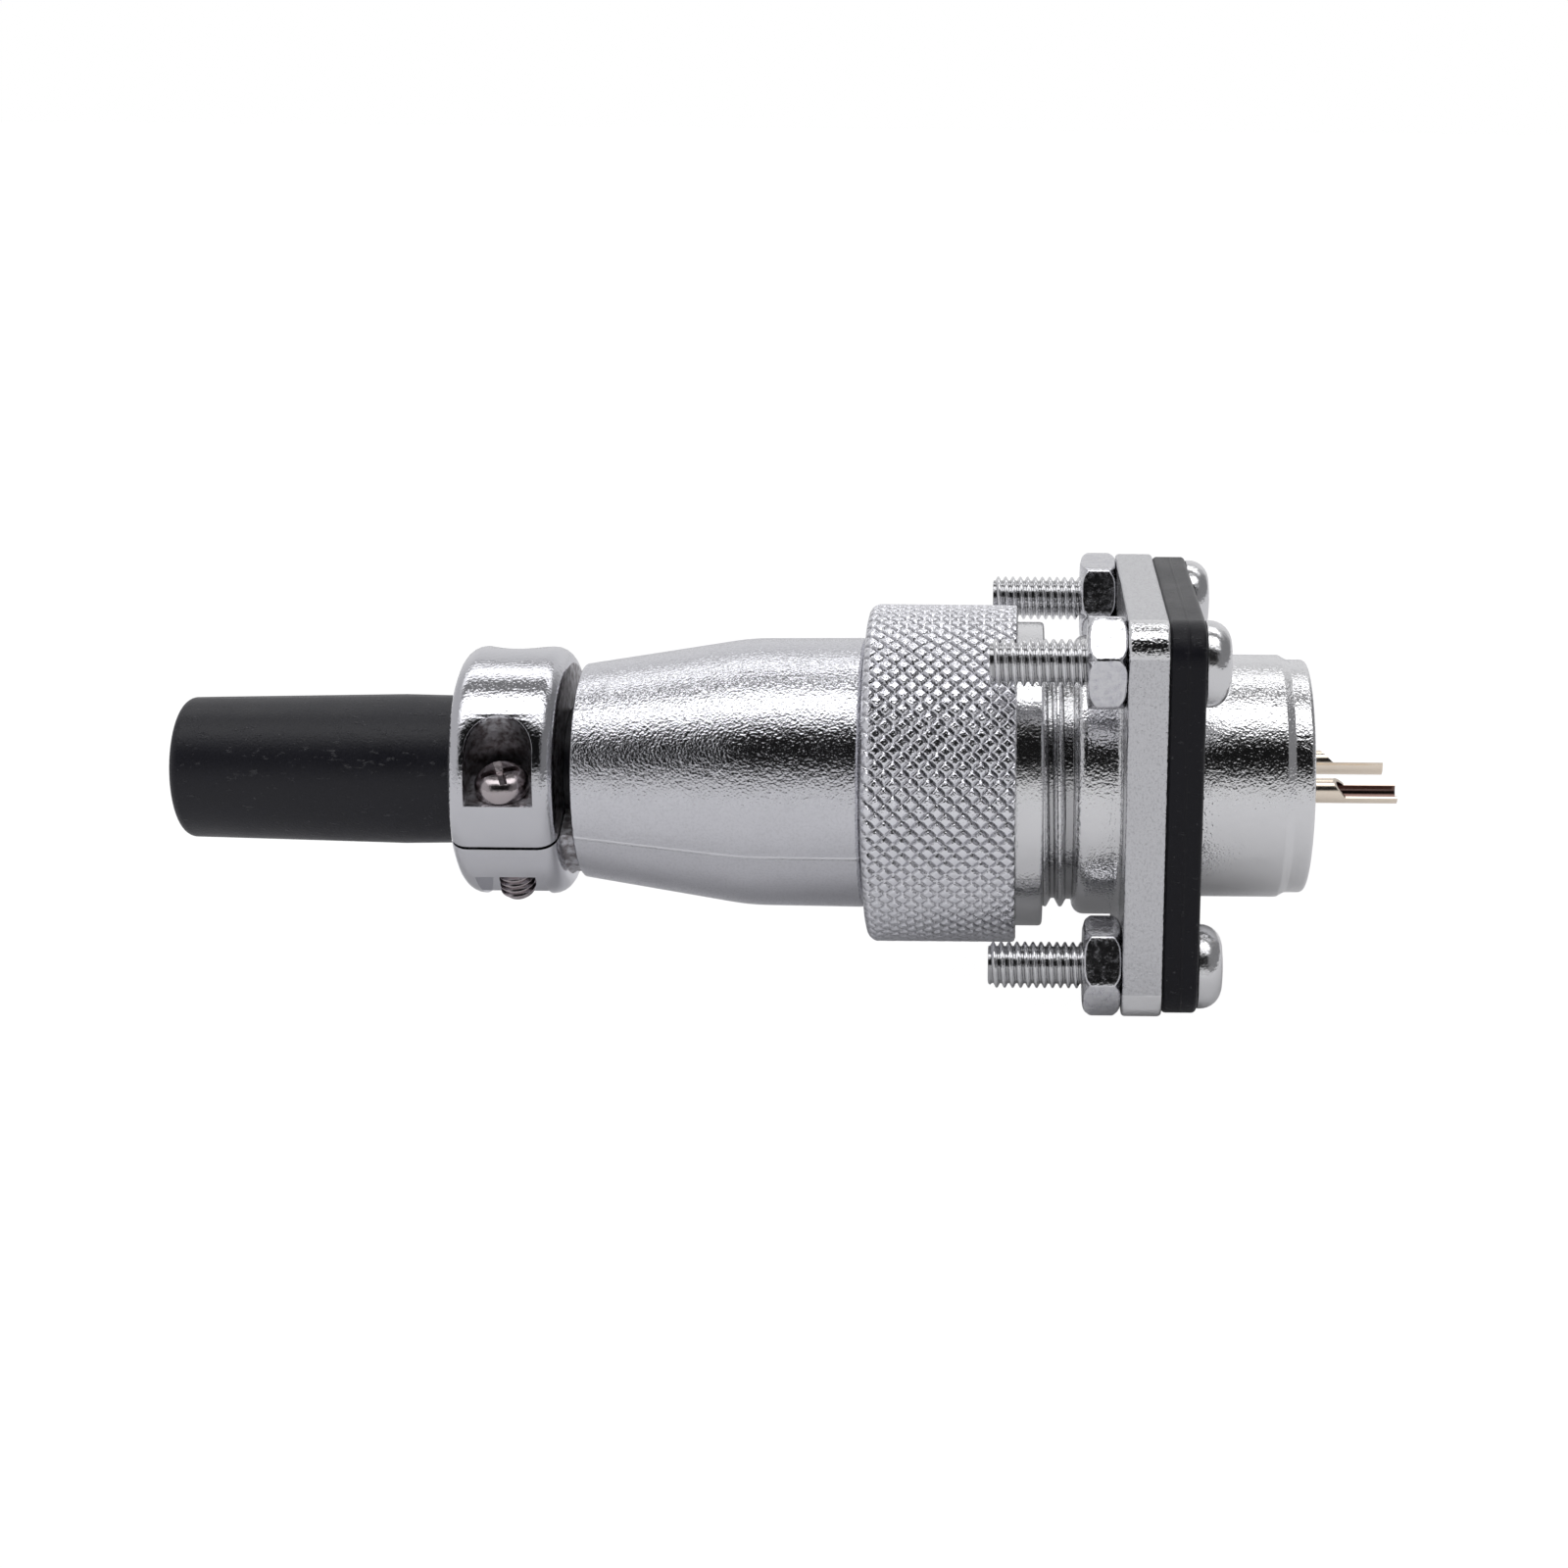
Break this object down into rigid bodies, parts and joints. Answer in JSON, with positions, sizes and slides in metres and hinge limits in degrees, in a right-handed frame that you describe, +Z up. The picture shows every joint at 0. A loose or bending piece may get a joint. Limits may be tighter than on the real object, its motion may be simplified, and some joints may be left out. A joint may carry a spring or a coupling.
{
  "type": "aviation plug connector",
  "caption": "Mated round power connector: square-flange panel receptacle with gasket, screws and solder cups, and a cable plug with knurled coupling ring, backshell, clamp and sleeve.",
  "frame": {"origin": "on the connector's axis, in the plane of the gasket's rear face, which seats on the panel", "axes": "+X along the axis towards the solder cups behind the panel, +Z up"},
  "size_m": [0.0783, 0.0258, 0.0254],
  "materials": {
    "plated_shell": "bright plated die casting with a fine orange-peel mottle",
    "plated_ring": "bright plated, diamond knurled",
    "polished_clamp": "smooth bright plated casting",
    "fastener_steel": "bright nickel-plated steel",
    "clamp_screw_steel": "darker plated steel",
    "spring_steel": "plain spring steel",
    "black_rubber": "moulded black rubber",
    "sleeve_rubber": "matt charcoal rubber",
    "insulator": "moulded black insulator",
    "contact_gold": "gold flashed"
  },
  "bodies": {
    "receptacle": {"receptacle_shell": "plated_shell", "receptacle_insert": "insulator", "pin_contact_front": "contact_gold", "pin_contact_back": "contact_gold", "receptacle_snap_ring": "spring_steel", "flange_gasket": "black_rubber", "flange_screws": "fastener_steel", "flange_nuts": "fastener_steel"},
    "plug": {"face_seal": "black_rubber", "plug_shell": "plated_shell", "plug_insert": "insulator", "socket_contact_front": "contact_gold", "socket_contact_back": "contact_gold", "plug_snap_ring": "spring_steel", "backshell": "plated_shell", "backshell_o_ring": "black_rubber", "cable_saddle": "polished_clamp", "clamp_screws": "clamp_screw_steel", "cable_sleeve": "sleeve_rubber"},
    "ring": {"coupling_ring": "plated_ring"}
  },
  "joints": [
    {"name": "plug_slide", "type": "slide", "parent": "receptacle", "child": "plug", "axis": [-1, 0, 0], "range_m": [0, 0.014]},
    {"name": "ring_turn", "type": "hinge", "parent": "plug", "child": "ring", "pos_m": [-0.016, 0, 0], "axis": [-1, 0, 0], "range_deg": [0, 5040]}
  ],
  "couplings": [
    {"joint": "ring_turn", "follows": "plug_slide", "rad_per_m": 6283.2}
  ]
}
